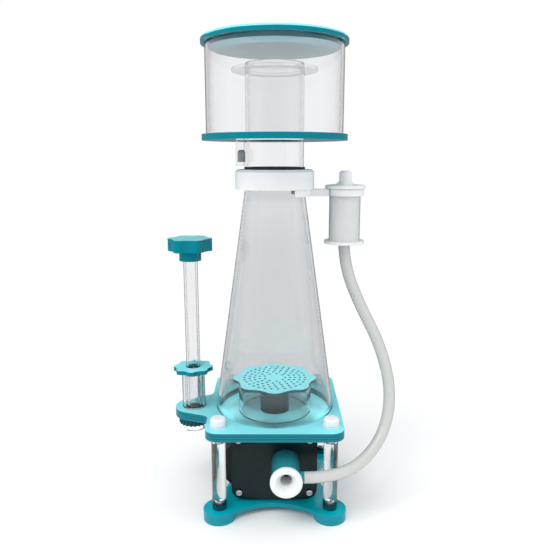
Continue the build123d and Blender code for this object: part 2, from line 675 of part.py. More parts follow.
def pump_volute():
    """Housing with the needle wheel's chamber, the outlet socket and the rotor's way through."""
    body = rounded_block(PUMP_LEFT, PUMP_RIGHT, CHAMBER_FRONT, PUMP_BACK, PUMP_FOOT_Z, PUMP_TOP_Z, PUMP_CORNER)
    body -= rod_y(CHAMBER_DIA, CHAMBER_FRONT, CHAMBER_BACK)
    body -= rod_y(rotor_well_dia(), CHAMBER_BACK, PUMP_BACK)
    body -= disc(RISER_BORE, PUMP_Z, PUMP_TOP_Z)
    return body - disc(RISER_DIA + 2 * BOND_GAP, PUMP_TOP_Z - SOCKET_DEPTH, PUMP_TOP_Z)


def pump_cover():
    """Front cover with the intake and a spider that holds the front bush."""
    cover = rounded_block(PUMP_LEFT, PUMP_RIGHT, PUMP_FRONT, CHAMBER_FRONT, PUMP_FOOT_Z, PUMP_TOP_Z, PUMP_CORNER)
    cover -= rod_y(INTAKE_BORE, PUMP_FRONT, CHAMBER_FRONT)
    for i in range(3):
        arm = Pos(INTAKE_BORE / 4, 0, 0) * Box(INTAKE_BORE / 2 + 1, 3, PUMP_COVER)
        cover += Pos(PUMP_X, (PUMP_FRONT + CHAMBER_FRONT) / 2, PUMP_Z) * Rot(90, 0, 0) * Rot(0, 0, 90 + 120 * i) * arm
    cover += rod_y(BUSH_DIA + 4, PUMP_FRONT, CHAMBER_FRONT)
    return cover - rod_y(BUSH_DIA + 2 * BOND_GAP, PUMP_FRONT + 1, CHAMBER_FRONT)


def cover_screws():
    """Four pan-headed screws in the corners of the front cover."""
    screws = []
    for x in (PUMP_LEFT + COVER_SCREW_INSET, PUMP_RIGHT - COVER_SCREW_INSET):
        for z in (PUMP_FOOT_Z + COVER_SCREW_INSET, PUMP_TOP_Z - COVER_SCREW_INSET):
            head = rod_y(COVER_SCREW_DIA, PUMP_FRONT - COVER_SCREW_HEAD, PUMP_FRONT, x, z)
            slot = Pos(x, PUMP_FRONT - COVER_SCREW_HEAD, z) * Box(COVER_SCREW_DIA, 1.6, 1.0)
            screws.append(head - slot)
    return screws


def rotor_well_dia():
    return ROTOR_DIA + 2 * ROTOR_WELL


def rotor_back():
    return PUMP_BACK + ROTOR_LENGTH


def motor_housing():
    """Ribbed round housing, hollow for the stator and with a blind well for the rotor."""
    body = rod_y(MOTOR_DIA - 2 * MOTOR_RIB, PUMP_BACK, MOTOR_BACK)
    step = (MOTOR_BACK - PUMP_BACK - END_CAP) / MOTOR_RIBS
    for i in range(MOTOR_RIBS):
        front = PUMP_BACK + step * (i + 0.25)
        body += rod_y(MOTOR_DIA, front, front + step / 2)
    stator_room = rod_y(STATOR_DIA + 2 * BOND_GAP, PUMP_BACK + END_CAP, MOTOR_BACK)
    stator_room -= rod_y(rotor_well_dia() + 2 * WELL_WALL, PUMP_BACK + END_CAP, rotor_back() + 2 * WELL_WALL)
    body -= stator_room
    return body - rod_y(rotor_well_dia(), PUMP_BACK, rotor_back() + WELL_WALL)


def motor_end_cap():
    cap = rod_y(MOTOR_DIA, MOTOR_BACK, MOTOR_BACK + END_CAP)
    return fillet(cap.edges().group_by(Axis.Y)[-1], END_CAP / 2)


def stator_core():
    front = PUMP_BACK + END_CAP + SLIP_GAP
    bore = rotor_well_dia() + 2 * WELL_WALL + 2 * BOND_GAP
    return rod_y(STATOR_DIA, front, front + STATOR_LENGTH) - rod_y(bore, front, front + STATOR_LENGTH)


def pump_shaft():
    return rod_y(SHAFT_DIA, PUMP_FRONT + 2, rotor_back() + WELL_WALL - 1)


def bush(front):
    return rod_y(BUSH_DIA, front, front + BUSH_LENGTH) - rod_y(SHAFT_DIA, front, front + BUSH_LENGTH)


def front_bush():
    return bush(PUMP_FRONT + 1)


def rear_bush():
    """Rubber bush in the end of the well, as wide as the well."""
    front = rotor_back() + WELL_WALL - 3
    ring = rod_y(rotor_well_dia() - 2 * BOND_GAP, front, front + 3)
    return ring - rod_y(SHAFT_DIA, front, front + 3)


def rotor_magnet():
    bore = SHAFT_DIA + 2 * RUN_GAP
    back = rotor_back() - 3
    return rod_y(ROTOR_DIA, PUMP_BACK - 2, back) - rod_y(bore, PUMP_BACK - 2, back)


def needle_wheel():
    """Disc on the rotor with three rings of pins that beat the air small."""
    disc_back = CHAMBER_BACK - 1.5
    disc_front = disc_back - WHEEL_DISC
    wheel = rod_y(WHEEL_DIA, disc_front, disc_back)
    wheel += rod_y(12.0, disc_front - WHEEL_PIN, PUMP_BACK - 2)
    for radius, count in WHEEL_PIN_RINGS:
        for x, z in ring_of(radius, count, (PUMP_X, PUMP_Z)):
            wheel += rod_y(WHEEL_PIN_DIA, disc_front - WHEEL_PIN, disc_front, x, z)
    return wheel - rod_y(SHAFT_DIA + 2 * RUN_GAP, disc_front - WHEEL_PIN, PUMP_BACK - 2)


def terminal_box():
    """Cable housing on the pump's left side."""
    front = CHAMBER_FRONT + TERMINAL_SETBACK
    body = block(TERMINAL_LEFT, PUMP_LEFT, front, PUMP_BACK, TERMINAL_BOTTOM_Z, TERMINAL_TOP_Z)
    outer = body.edges().filter_by(Axis.Y).group_by(Axis.X)[0]
    return chamfer(outer, TERMINAL_CHAMFER)


def cable_gland():
    """Gland behind the cable housing, open for the mains lead."""
    x = (TERMINAL_LEFT + PUMP_LEFT) / 2
    z = (TERMINAL_BOTTOM_Z + TERMINAL_TOP_Z) / 2
    end = PUMP_BACK + GLAND_LENGTH
    body = rod_y(GLAND_DIA, PUMP_BACK, end, x, z)
    body = chamfer(body.edges().group_by(Axis.Y)[-1], 1.5)
    return body - rod_y(GLAND_BORE, PUMP_BACK, end, x, z)


def pump_pads():
    """Rubber pads between the pump and the bottom plate."""
    pads = []
    for x in (PUMP_LEFT + PUMP_CORNER + PUMP_PAD_DIA / 2, PUMP_RIGHT - PUMP_CORNER - PUMP_PAD_DIA / 2):
        for y in (CHAMBER_FRONT + PUMP_PAD_DIA, PUMP_BACK - PUMP_PAD_DIA):
            pads.append(disc(PUMP_PAD_DIA, BASE_Z, PUMP_FOOT_Z, x, y))
    return pads


# ---- venturi intake ---------------------------------------------------------------------------
def venturi_body():
    body = rod_y(VENTURI_DIA, VENTURI_FRONT, PUMP_FRONT) - rod_y(INTAKE_BORE, VENTURI_FRONT, PUMP_FRONT)
    return body - rod_x(BARB_BORE, PUMP_X, BARB_X, BARB_Y, PUMP_Z)


def air_barb():
    """Barb on the venturi's right side: a saddle flange and the spigot that the hose pushes on."""
    barb = rod_x(BARB_FLANGE_DIA, PUMP_X, BARB_X, BARB_Y, PUMP_Z)
    barb += rod_x(BARB_DIA, BARB_X, BARB_X + BARB_LENGTH, BARB_Y, PUMP_Z)
    barb -= rod_x(BARB_BORE, PUMP_X, BARB_X + BARB_LENGTH, BARB_Y, PUMP_Z)
    return barb - rod_y(VENTURI_DIA, VENTURI_FRONT, PUMP_FRONT)


def intake_nozzle():
    """White nozzle with a bell mouth, pushed into the venturi's front."""
    lip = NOZZLE_DIA / 2
    plug = INTAKE_BORE / 2 - SLIP_GAP
    throat = NOZZLE_THROAT_DIA / 2
    bore = NOZZLE_BORE / 2
    back = NOZZLE_LIP
    # radius and depth behind the front face
    points = [(NOZZLE_MOUTH / 2, 0), (lip - 1.5, 0), (lip, 1.5), (lip, back), (plug, back), (plug, back + NOZZLE_PLUG)]
    points += [(throat, back + NOZZLE_PLUG), (throat, back + NOZZLE_PLUG + NOZZLE_THROAT)]
    points += [(bore, back + NOZZLE_PLUG + NOZZLE_THROAT), (bore, back + 3)]
    bell = turned(points)
    return Pos(PUMP_X, NOZZLE_FRONT, PUMP_Z) * Rot(-90, 0, 0) * bell


# ---- air hose ---------------------------------------------------------------------------------
def hose_radii():
    """Radius of each arc of the hose, as large as its two runs allow."""
    points = [Vector(*p) for p in HOSE_ROUTE]
    radii = []
    for before, corner, after in zip(points, points[1:], points[2:]):
        come = corner - before
        leave = after - corner
        turn = radians(come.get_angle(leave))
        radii.append(0.45 * min(come.length, leave.length) / tan(turn / 2))
    return radii


def air_hose():
    radii = hose_radii()
    route = FilletPolyline(*HOSE_ROUTE, radius=radii)
    section = Plane(origin=HOSE_ROUTE[0], z_dir=route % 0) * Circle(HOSE_DIA / 2)
    hose = sweep(section, path=route)
    expected = pi * HOSE_DIA**2 / 4 * route.length
    print("hose radii", [round(r, 1) for r in radii], "length", round(route.length, 1))
    print("hose volume over section times length", round(hose.volume / expected, 4))
    return hose


# ---- every piece, by name ---------------------------------------------------------------------
def pieces():
    made = {
        "foot_pads": foot_pads(),
        "foot_screws": foot_screws(),
        "bottom_plate": bottom_plate(),
        "post_seats": post_seats(),
        "deck_floor_plate": deck_floor_plate(),
        "deck_channel_plate": deck_channel_plate(),
        "deck_top_plate": deck_top_plate(),
        "deck_washers": washers(),
        "cone_shell": cone_shell(),
        "bubble_plate": bubble_plate(),
        "bubble_ring": bubble_ring(),
        "riser_pipe": riser_pipe(),
        "collar": collar(),
        "neck_seal": neck_seal(),
        "neck_tube": neck_tube(),
        "splash_ring": splash_ring(),
        "cup_wall": cup_wall(),
        "cup_floor": cup_floor(),
        "drain_spigot": drain_spigot(),
        "drain_plug": drain_plug(),
        "lid_cover": lid_cover(),
        "lid_plug": lid_plug(),
        "valve_tube": valve_tube(),
        "star_nut": star_nut(),
        "valve_stem": valve_stem(),
        "valve_knob": valve_knob(),
        "valve_slider": valve_slider(),
        "slider_seal": slider_seal(),
        "outlet_stub": outlet_stub(),
        "lock_ring": lock_ring(),
        "silencer_bracket": silencer_bracket(),
        "silencer_tube": silencer_tube(),
        "silencer_base": silencer_base(),
        "silencer_foam": silencer_foam(),
        "silencer_cap": silencer_cap(),
        "pump_volute": pump_volute(),
        "pump_cover": pump_cover(),
        "cover_screws": cover_screws(),
        "motor_housing": motor_housing(),
        "motor_end_cap": motor_end_cap(),
        "stator_core": stator_core(),
        "pump_shaft": pump_shaft(),
        "front_bush": front_bush(),
        "rear_bush": rear_bush(),
        "rotor_magnet": rotor_magnet(),
        "needle_wheel": needle_wheel(),
        "terminal_box": terminal_box(),
        "cable_gland": cable_gland(),
        "pump_pads": pump_pads(),
        "venturi_body": venturi_body(),
        "air_barb": air_barb(),
        "intake_nozzle": intake_nozzle(),
        "air_hose": air_hose(),
    }
    made["clear_posts"] = [post(x, y) for x, y in POST_POINTS]
    for place, (x, y) in POSTS.items():
        made["thumb_screw_" + place] = thumb_screw(x, y)
    return made


def save(name, shape):
    """Move a piece, or a group of like pieces, to the part's own origin and write it."""
    solids = shape if isinstance(shape, list) else [shape]
    moved = [Pos(TOWER_X, TOWER_Y, 0) * s for s in solids]
    export_step(moved[0] if len(moved) == 1 else Compound(children=moved), f"parts/{name}.step")


os.makedirs("parts", exist_ok=True)
for piece_name, piece_shape in pieces().items():
    save(piece_name, piece_shape)
print("tower axis at", round(TOWER_X, 3), round(TOWER_Y, 3))
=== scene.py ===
"""Looks of a cone protein skimmer: clear tower and cup on a teal stand, with pump, valve, silencer and hose."""

from math import cos, pi, radians, sin

import bpy
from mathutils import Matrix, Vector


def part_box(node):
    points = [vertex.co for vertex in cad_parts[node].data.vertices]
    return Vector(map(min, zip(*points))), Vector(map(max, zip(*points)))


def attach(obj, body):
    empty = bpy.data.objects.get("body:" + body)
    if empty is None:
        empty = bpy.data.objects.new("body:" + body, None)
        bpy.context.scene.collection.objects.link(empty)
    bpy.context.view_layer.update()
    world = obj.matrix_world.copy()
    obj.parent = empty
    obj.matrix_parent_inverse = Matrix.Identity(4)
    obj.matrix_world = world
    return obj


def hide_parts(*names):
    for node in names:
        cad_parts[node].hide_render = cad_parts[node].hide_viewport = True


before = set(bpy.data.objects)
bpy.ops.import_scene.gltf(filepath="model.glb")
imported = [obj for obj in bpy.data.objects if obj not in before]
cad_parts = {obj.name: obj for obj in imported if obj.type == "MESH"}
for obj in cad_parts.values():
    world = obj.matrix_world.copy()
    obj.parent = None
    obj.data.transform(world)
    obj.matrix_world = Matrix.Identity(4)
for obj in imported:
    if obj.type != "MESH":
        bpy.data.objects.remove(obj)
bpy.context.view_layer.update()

bl_info = {
    "name": "Cone protein skimmer",
    "version": (1, 0, 0),
    "blender": (4, 5, 0),
    "location": "3D View > Sidebar > Skimmer",
    "description": "Finishes, hose and studio of a cone protein skimmer",
    "category": "Object",
}

AXIS_X, AXIS_Y = 0.0089, 0.003          # the tower's upright axis
CAMERA_PLACE = (0.0089, -0.6173, 0.3736)
CAMERA_SHIFT = (0.0095, -0.0145)        # fitted to the photo, as shares of the picture's width
SENSOR = 36.0                           # camera's sensor width, in millimetres
ACRYLIC_INDEX = 1.49
# Reaches of the painted shade at a clear piece's outline.
PLAIN_REACH = (0.76, 0.93)              # where a sheet's or tube's tint starts and ends its fall to the rim
ROD_REACH = (0.46, 0.74)                # the same for rods and narrow tubes
SEAM_HALF = 0.00035                     # half the height of a cement seam
HOSE_EXIT = (0.0824, 0.003, 0.284)      # middle of the hose's upper end, on the silencer's base
HOSE_ROUTE = (
    HOSE_EXIT,
    (0.0834, 0.0015, 0.260),
    (0.0989, -0.0045, 0.220),
    (0.1219, -0.013, 0.176),
    (0.1329, -0.025, 0.130),
    (0.1254, -0.040, 0.090),
    (0.0999, -0.059, 0.064),
    (0.0669, -0.073, 0.056),
    (0.0387, -0.073, 0.056),
)


# ---- settings -----------------------------------------------------------------------------------
def colour(name, description, default):
    """A colour setting."""
    return bpy.props.FloatVectorProperty(
        name=name, description=description, default=default, subtype="COLOR", size=3, min=0.0, max=1.0
    )


def length(name, description, default):
    """A length setting in metres."""
    return bpy.props.FloatProperty(
        name=name, description=description, default=default, min=0.0, subtype="DISTANCE", unit="LENGTH",
        precision=5,
    )


def factor(name, description, default, low=0.0, high=1.0):
    """A plain number between two limits."""
    return bpy.props.FloatProperty(name=name, description=description, default=default, min=low, max=high)


class SkimmerSheetSettings(bpy.types.PropertyGroup):
    """Teal cast acrylic sheet."""

    # Tints are split by which way a face looks. The lighter upward face is painted light, a painted reflection
    # of the bright room above. The darker cut edge is painted shade, and the underside tint is a painted
    # reflection.
    face: colour("Face", "Colour of a polished face that looks up", (0.24, 0.80, 0.86))
    edge: colour("Edge", "Colour of a sheet's cut edge", (0.0, 0.20, 0.255))
    under_painted_light: colour("Underside", "Colour of a polished face that looks down", (0.10, 0.38, 0.46))
    # The base and dark pieces split the same way: lighter upward faces are painted light, darker edges and
    # sides are painted shade.
    base_face_painted_light: colour("Base face", "Upper face of the bottom plate and feet", (0.0, 0.42, 0.50))
    base_edge_painted_shade: colour("Base edge", "Cut edge of the bottom plate and feet", (0.0, 0.26, 0.33))
    dark_face_painted_light: colour("Dark face", "Upper face of the dark teal pieces", (0.01, 0.26, 0.31))
    dark_edge_painted_shade: colour("Dark edge", "Sides of the dark teal pieces", (0.0, 0.075, 0.095))
    roughness: factor("Roughness", "Roughness of the polished sheet", 0.09)
    round: length("Edge rounding", "Radius of the broken edges", 0.00045)


class SkimmerClearSettings(bpy.types.PropertyGroup):
    """Clear acrylic."""

    # Each rim tint is darker than its middle. Part of this is the longer path through the wall; the rest is
    # painted shade at the outline.
    middle: colour("Middle", "Tint where the wall is looked straight through", (0.965, 0.97, 0.975))
    rim: colour("Rim", "Tint where the wall is seen edge on", (0.12, 0.13, 0.14))
    cone_middle: colour("Cone middle", "Tint of the cone's wall, looked straight through", (0.83, 0.84, 0.85))
    cone_rim_with_painted_shade: colour("Cone rim", "Tint of the cone's wall, seen edge on", (0.36, 0.40, 0.43))
    teal_middle: colour("Teal moulding", "Tint of the clear teal intake tube", (0.06, 0.52, 0.62))
    teal_rim_with_painted_shade: colour("Teal moulding rim", "Tint of the intake tube at its edges", (0.0, 0.10, 0.16))
    roughness: factor("Roughness", "Roughness of the polished acrylic", 0.02)
    neck_wall: length("Neck wall", "Wall of the neck tube", 0.0025)
    cup_wall: length("Cup wall", "Wall of the cup", 0.003)
    valve_wall: length("Valve wall", "Wall of the valve tube", 0.003)
    stem_wall: length("Stem wall", "Wall of the valve's hollow stem", 0.002)
    haze: factor("Haze", "Share of milky scatter in the cone's wall", 0.012)
    teal_haze: factor("Teal haze", "Share of milky scatter in the teal moulding", 0.45)
    index: factor("Index", "Refractive index of acrylic", ACRYLIC_INDEX, 1.0, 2.0)


class SkimmerPlasticSettings(bpy.types.PropertyGroup):
    """White, black and grey mouldings."""

    white: colour("White", "Satin white mouldings", (0.84, 0.85, 0.86))
    white_shade: colour("White shade", "Darker spots of the white mouldings", (0.76, 0.775, 0.79))
    frosted: colour("Frosted", "Middle of the silencer's tube", (0.68, 0.70, 0.70))
    # The frosted rim is darker than the middle: painted shade at the tube's outline.
    frosted_rim_painted_shade: colour("Frosted rim", "Edges of the silencer's tube", (0.30, 0.33, 0.34))
    black: colour("Black", "Pump's moulding", (0.002, 0.009, 0.011))
    black_shade: colour("Black shade", "Lighter grain of the pump's moulding", (0.004, 0.020, 0.024))
    hose: colour("Hose", "Middle of the silicone hose", (0.60, 0.61, 0.585))
    # The hose rim is darker than the middle: painted shade at the hose's outline.
    hose_rim_painted_shade: colour("Hose rim", "Edges of the silicone hose", (0.30, 0.31, 0.30))
    rubber: colour("Grey rubber", "Drain plug", (0.50, 0.57, 0.60))


class SkimmerHoseSettings(bpy.types.PropertyGroup):
    """Air hose."""

    diameter: length("Diameter", "Outside diameter of the hose", 0.012)
    length: length("Length", "Length from the silencer to the barb", 0.313)


class SkimmerStageSettings(bpy.types.PropertyGroup):
    """Studio."""

    floor_size: length("Floor", "Half width of the floor", 1.0)
    shadow_reach: length("Shadow reach", "Radius at which the floor has faded into the white room", 0.42)
    inner: factor("Inner", "Power of the small lamps inside the clear pieces, in watts", 0.34, 0.0, 5.0)
    sky: factor("Sky", "Strength of the soft light from all round", 0.92, 0.0, 3.0)
    mirrored: factor("Mirrored sky", "Strength of the room where a surface mirrors it", 0.22, 0.0, 3.0)
    key: factor("Key", "Power of the lamp above, in watts", 10.0, 0.0, 50.0)
    side: factor("Side", "Power of each side lamp, in watts", 4.0, 0.0, 50.0)
    focal: factor("Focal length", "Camera's focal length, in millimetres", 37.9, 10.0, 200.0)
    pitch: factor("Pitch", "Camera's tilt down, in degrees", 11.04, -90.0, 90.0)


# ---- node helpers -------------------------------------------------------------------------------
def add(tree, kind, inputs=None, **settings):
    """Adds a node; an input's value is a plain value or another node's socket."""
    node = tree.nodes.new(kind)
    for key, value in settings.items():
        setattr(node, key, value)
    for key, value in (inputs or {}).items():
        if isinstance(value, bpy.types.NodeSocket):
            tree.links.new(value, node.inputs[key])
        else:
            node.inputs[key].default_value = value
    return node


def rgba(values):
    """A colour with full alpha."""
    return (values[0], values[1], values[2], 1.0)


def blank(name):
    """An empty node material and its principled shader."""
    mat = bpy.data.materials.new(name)
    mat.use_nodes = True
    tree = mat.node_tree
    tree.nodes.clear()
    shader = add(tree, "ShaderNodeBsdfPrincipled")
    output = add(tree, "ShaderNodeOutputMaterial")
    tree.links.new(shader.outputs["BSDF"], output.inputs["Surface"])
    return mat, tree, shader


def mixed(tree, fac, low, high):
    """Colour between two others."""
    node = add(tree, "ShaderNodeMix", data_type="RGBA")
    for socket, value in ((node.inputs[0], fac), (node.inputs[6], low), (node.inputs[7], high)):
        if isinstance(value, bpy.types.NodeSocket):
            tree.links.new(value, socket)
        else:
            socket.default_value = value
    return node.outputs[2]


def times(tree, one, other):
    """Product of two colours."""
    node = add(tree, "ShaderNodeMix", data_type="RGBA", blend_type="MULTIPLY")
    node.inputs[0].default_value = 1.0
    tree.links.new(one, node.inputs[6])
    tree.links.new(other, node.inputs[7])
    return node.outputs[2]


def noise(tree, scale, detail=3.0, stretch=(1.0, 1.0, 1.0)):
    """Noise in object space, as a factor."""
    place = add(tree, "ShaderNodeTexCoord")
    fitted = add(tree, "ShaderNodeMapping", {"Vector": place.outputs["Object"], "Scale": stretch})
    inputs = {"Vector": fitted.outputs["Vector"], "Scale": scale, "Detail": detail}
    node = add(tree, "ShaderNodeTexNoise", inputs)
    return node.outputs["Fac"]


def ramp(tree, fac, stops):
    """Colour ramp with smooth steps."""
    node = add(tree, "ShaderNodeValToRGB", {"Fac": fac})
    node.color_ramp.interpolation = "EASE"
    marks = node.color_ramp.elements
    while len(marks) < len(stops):
        marks.new(0.5)
    for mark, (place, value) in zip(marks, stops):
        mark.position = place
        mark.color = rgba(value)
    return node.outputs["Color"]


def rounded(tree, shader, radius, grain=0.0, grain_scale=900.0):
    """Rounds a shader's sharp edges and adds a fine grain."""
    edge = add(tree, "ShaderNodeBevel", {"Radius": radius}, samples=4)
    normal = edge.outputs["Normal"]
    if grain:
        height = noise(tree, grain_scale)
        inputs = {"Strength": grain, "Distance": 0.0003, "Height": height, "Normal": normal}
        bump = add(tree, "ShaderNodeBump", inputs)
        normal = bump.outputs["Normal"]
    tree.links.new(normal, shader.inputs["Normal"])


def facing(tree):
    """0 where a surface faces the viewer and 1 at its outline."""
    return add(tree, "ShaderNodeLayerWeight", {"Blend": 0.5}).outputs["Facing"]


# ---- finishes -----------------------------------------------------------------------------------
def sheet_finish_with_painted_light(name, face, edge, under_painted_light, roughness, radius, seams=()):
    """Cast acrylic sheet with painted light: faces that look up are painted lighter than its cut edges, which
    are darker as painted shade, and cemented plates show seams.
    """
    mat, tree, shader = blank(name)
    place = add(tree, "ShaderNodeTexCoord")
    parts = add(tree, "ShaderNodeSeparateXYZ", {"Vector": place.outputs["Normal"]})
    up = add(tree, "ShaderNodeMapRange", {"Value": parts.outputs["Z"], "From Min": -1.0, "From Max": 1.0})
    # Painted light by direction: upward faces lighter, edges darker as painted shade, undersides a painted
    # reflection.
    stops = ((0.08, under_painted_light), (0.34, edge), (0.54, edge), (0.70, face))
    painted_light_by_direction = ramp(tree, up.outputs["Result"], stops)
    cloud = noise(tree, 22.0, 2.0)
    deeper = mixed(tree, cloud, (0.88, 0.93, 0.95, 1.0), (1.0, 1.0, 1.0, 1.0))
    shade = times(tree, painted_light_by_direction, deeper)
    level = add(tree, "ShaderNodeSeparateXYZ", {"Vector": place.outputs["Object"]}).outputs["Z"]
    slope = {0: parts.outputs["Z"], 1: 0.0, 2: 0.5}
    upright = add(tree, "ShaderNodeMath", slope, operation="COMPARE").outputs[0]
    for height in seams:
        line = add(tree, "ShaderNodeMath", {0: level, 1: height, 2: SEAM_HALF}, operation="COMPARE")
        seam = add(tree, "ShaderNodeMath", {0: line.outputs[0], 1: upright}, operation="MULTIPLY")
        shade = mixed(tree, seam.outputs[0], shade, rgba([v * 0.35 for v in edge]))
    tree.links.new(shade, shader.inputs["Base Color"])
    shader.inputs["Roughness"].default_value = roughness
    shader.inputs["IOR"].default_value = ACRYLIC_INDEX
    shader.inputs["Specular IOR Level"].default_value = 0.3
    rounded(tree, shader, radius)
    return mat


def clear_finish_with_painted_rims(name, middle, rim, roughness, index, haze=0.0, soft_at=PLAIN_REACH[0],
                 rim_at=PLAIN_REACH[1]):
    """Clear acrylic with painted rims: its tint deepens in soft bands towards its outline. The slight middle
    bands are painted reflections, and the dark rim is painted shade, partly the longer path through the wall.
    """
    mat, tree, shader = blank(name)
    soft = [a * 0.72 + b * 0.28 for a, b in zip(middle, rim)]
    # The slightly darker middle bands are painted reflections, and the fall to the rim is painted shade.
    bands = ((0.0, [v * 0.975 for v in middle]), (0.16, middle), (soft_at * 0.66, [v * 0.95 for v in middle]))
    stops = bands + ((soft_at, soft), (rim_at, rim))
    tint = ramp(tree, facing(tree), stops)
    # Faint random upright streaks in the tint.
    upright_streaks = noise(tree, 60.0, 2.0, (1.0, 1.0, 0.08))
    streak = mixed(tree, upright_streaks, (0.985, 0.985, 0.985, 1.0), (1.0, 1.0, 1.0, 1.0))
    tree.links.new(times(tree, tint, streak), shader.inputs["Base Color"])
    shader.inputs["Transmission Weight"].default_value = 1.0 - haze
    shader.inputs["Roughness"].default_value = roughness
    shader.inputs["IOR"].default_value = index
    return mat


def moulded_finish(name, high, low, roughness, scale=60.0, grain=0.0, radius=0.0004, coat=0.0, metallic=0.0,
                    specular=0.5):
    """Opaque moulding with a faint cloud of two colours and a fine grain."""
    mat, tree, shader = blank(name)
    tree.links.new(mixed(tree, noise(tree, scale), rgba(low), rgba(high)), shader.inputs["Base Color"])
    shader.inputs["Roughness"].default_value = roughness
    shader.inputs["Metallic"].default_value = metallic
    shader.inputs["Specular IOR Level"].default_value = specular
    shader.inputs["Coat Weight"].default_value = coat
    shader.inputs["Coat Roughness"].default_value = 0.1
    rounded(tree, shader, radius, grain)
    return mat


def milky_finish_with_painted_rims(name, middle, rim, roughness, scatter):
    """Milky moulding or silicone: its colour darkens towards its outline as painted shade."""
    mat, tree, shader = blank(name)
    stops = ((0.0, middle), (0.45, [v * 0.96 for v in middle]), (0.95, rim))
    shade = ramp(tree, facing(tree), stops)
    cloud = mixed(tree, noise(tree, 90.0), (0.93, 0.93, 0.93, 1.0), (1.0, 1.0, 1.0, 1.0))
    tree.links.new(times(tree, shade, cloud), shader.inputs["Base Color"])
    shader.inputs["Roughness"].default_value = roughness
    shader.inputs["Subsurface Weight"].default_value = scatter
    shader.inputs["Subsurface Radius"].default_value = (0.004, 0.004, 0.004)
    shader.inputs["Subsurface Scale"].default_value = 0.5
    shader.inputs["Coat Weight"].default_value = 0.3
    shader.inputs["Coat Roughness"].default_value = 0.08
    return mat


def lathe(name, outline, x, y, steps=240):
    """Ring of a closed outline turned about an upright axis; outline is radius and height pairs in metres."""
    verts = []
    for i in range(steps):
        turn = 2 * pi * i / steps
        verts += [(x + r * cos(turn), y + r * sin(turn), z) for r, z in outline]
    count = len(outline)
    faces = []
    for i in range(steps):
        here, there = i * count, (i + 1) % steps * count
        for j in range(count):
            k = (j + 1) % count
            faces.append((here + k, here + j, there + j, there + k))
    mesh = bpy.data.meshes.new(name)
    mesh.from_pydata(verts, [], faces)
    mesh.shade_smooth()
    mesh.set_sharp_from_angle(angle=radians(35.0))
    piece = bpy.data.objects.new(name, mesh)
    bpy.context.scene.collection.objects.link(piece)
    return piece


def clear_tube(name, node, wall, body, kind="clear"):
    """Smooth copy of a plain tube of the CAD model, read from its box."""
    low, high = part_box(node)
    outer = (high.x - low.x) / 2
    x, y = (high.x + low.x) / 2, (high.y + low.y) / 2
    soft = wall * 0.15
    outline = [(outer, low.z + soft), (outer, high.z - soft), (outer - soft, high.z)]
    outline += [(outer - wall + soft, high.z), (outer - wall, high.z - soft), (outer - wall, low.z + soft)]
    outline += [(outer - wall + soft, low.z), (outer - soft, low.z)]
    piece = lathe(name, outline, x, y)
    piece.data.materials.append(finish_of(kind))
    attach(piece, body)
    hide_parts(node)
    return piece


def dress(names, mat):
    """Gives CAD nodes a finish."""
    for name in names:
        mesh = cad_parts[name].data
        mesh.materials.clear()
        mesh.materials.append(mat)


def sheet_of(tone):
    """One of the three teal sheet finishes."""
    s = bpy.context.scene.skimmer_sheet
    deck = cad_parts["deck_channel_plate"].data.vertices
    heights = [v.co.z for v in deck]
    seams = {"deck": (min(heights), max(heights))}
    tones = {
        "plain": (s.face, s.edge, s.under_painted_light),
        "deck": (s.face, s.edge, s.under_painted_light),
        "base": (s.base_face_painted_light, s.base_edge_painted_shade, s.base_edge_painted_shade),
        "dark": (s.dark_face_painted_light, s.dark_edge_painted_shade, s.dark_edge_painted_shade),
    }
    tints = [tuple(v) for v in tones[tone]]
    return sheet_finish_with_painted_light("teal_" + tone, *tints, s.roughness, s.round, seams.get(tone, ()))


def clear_of(tone):
    """One of the clear finishes."""
    s = bpy.context.scene.skimmer_clear
    tones = {
        "clear": (s.middle, s.rim),
        "cone": (s.cone_middle, s.cone_rim_with_painted_shade),
        "rod": (s.middle, s.rim),
        "teal": (s.teal_middle, s.teal_rim_with_painted_shade),
    }
    haze = {"cone": s.haze, "teal": s.teal_haze}.get(tone, 0.0)
    reach = ROD_REACH if tone == "rod" else PLAIN_REACH
    tints = [tuple(v) for v in tones[tone]]
    return clear_finish_with_painted_rims("acrylic_" + tone, *tints, s.roughness, s.index, haze, *reach)


FINISHES = {}


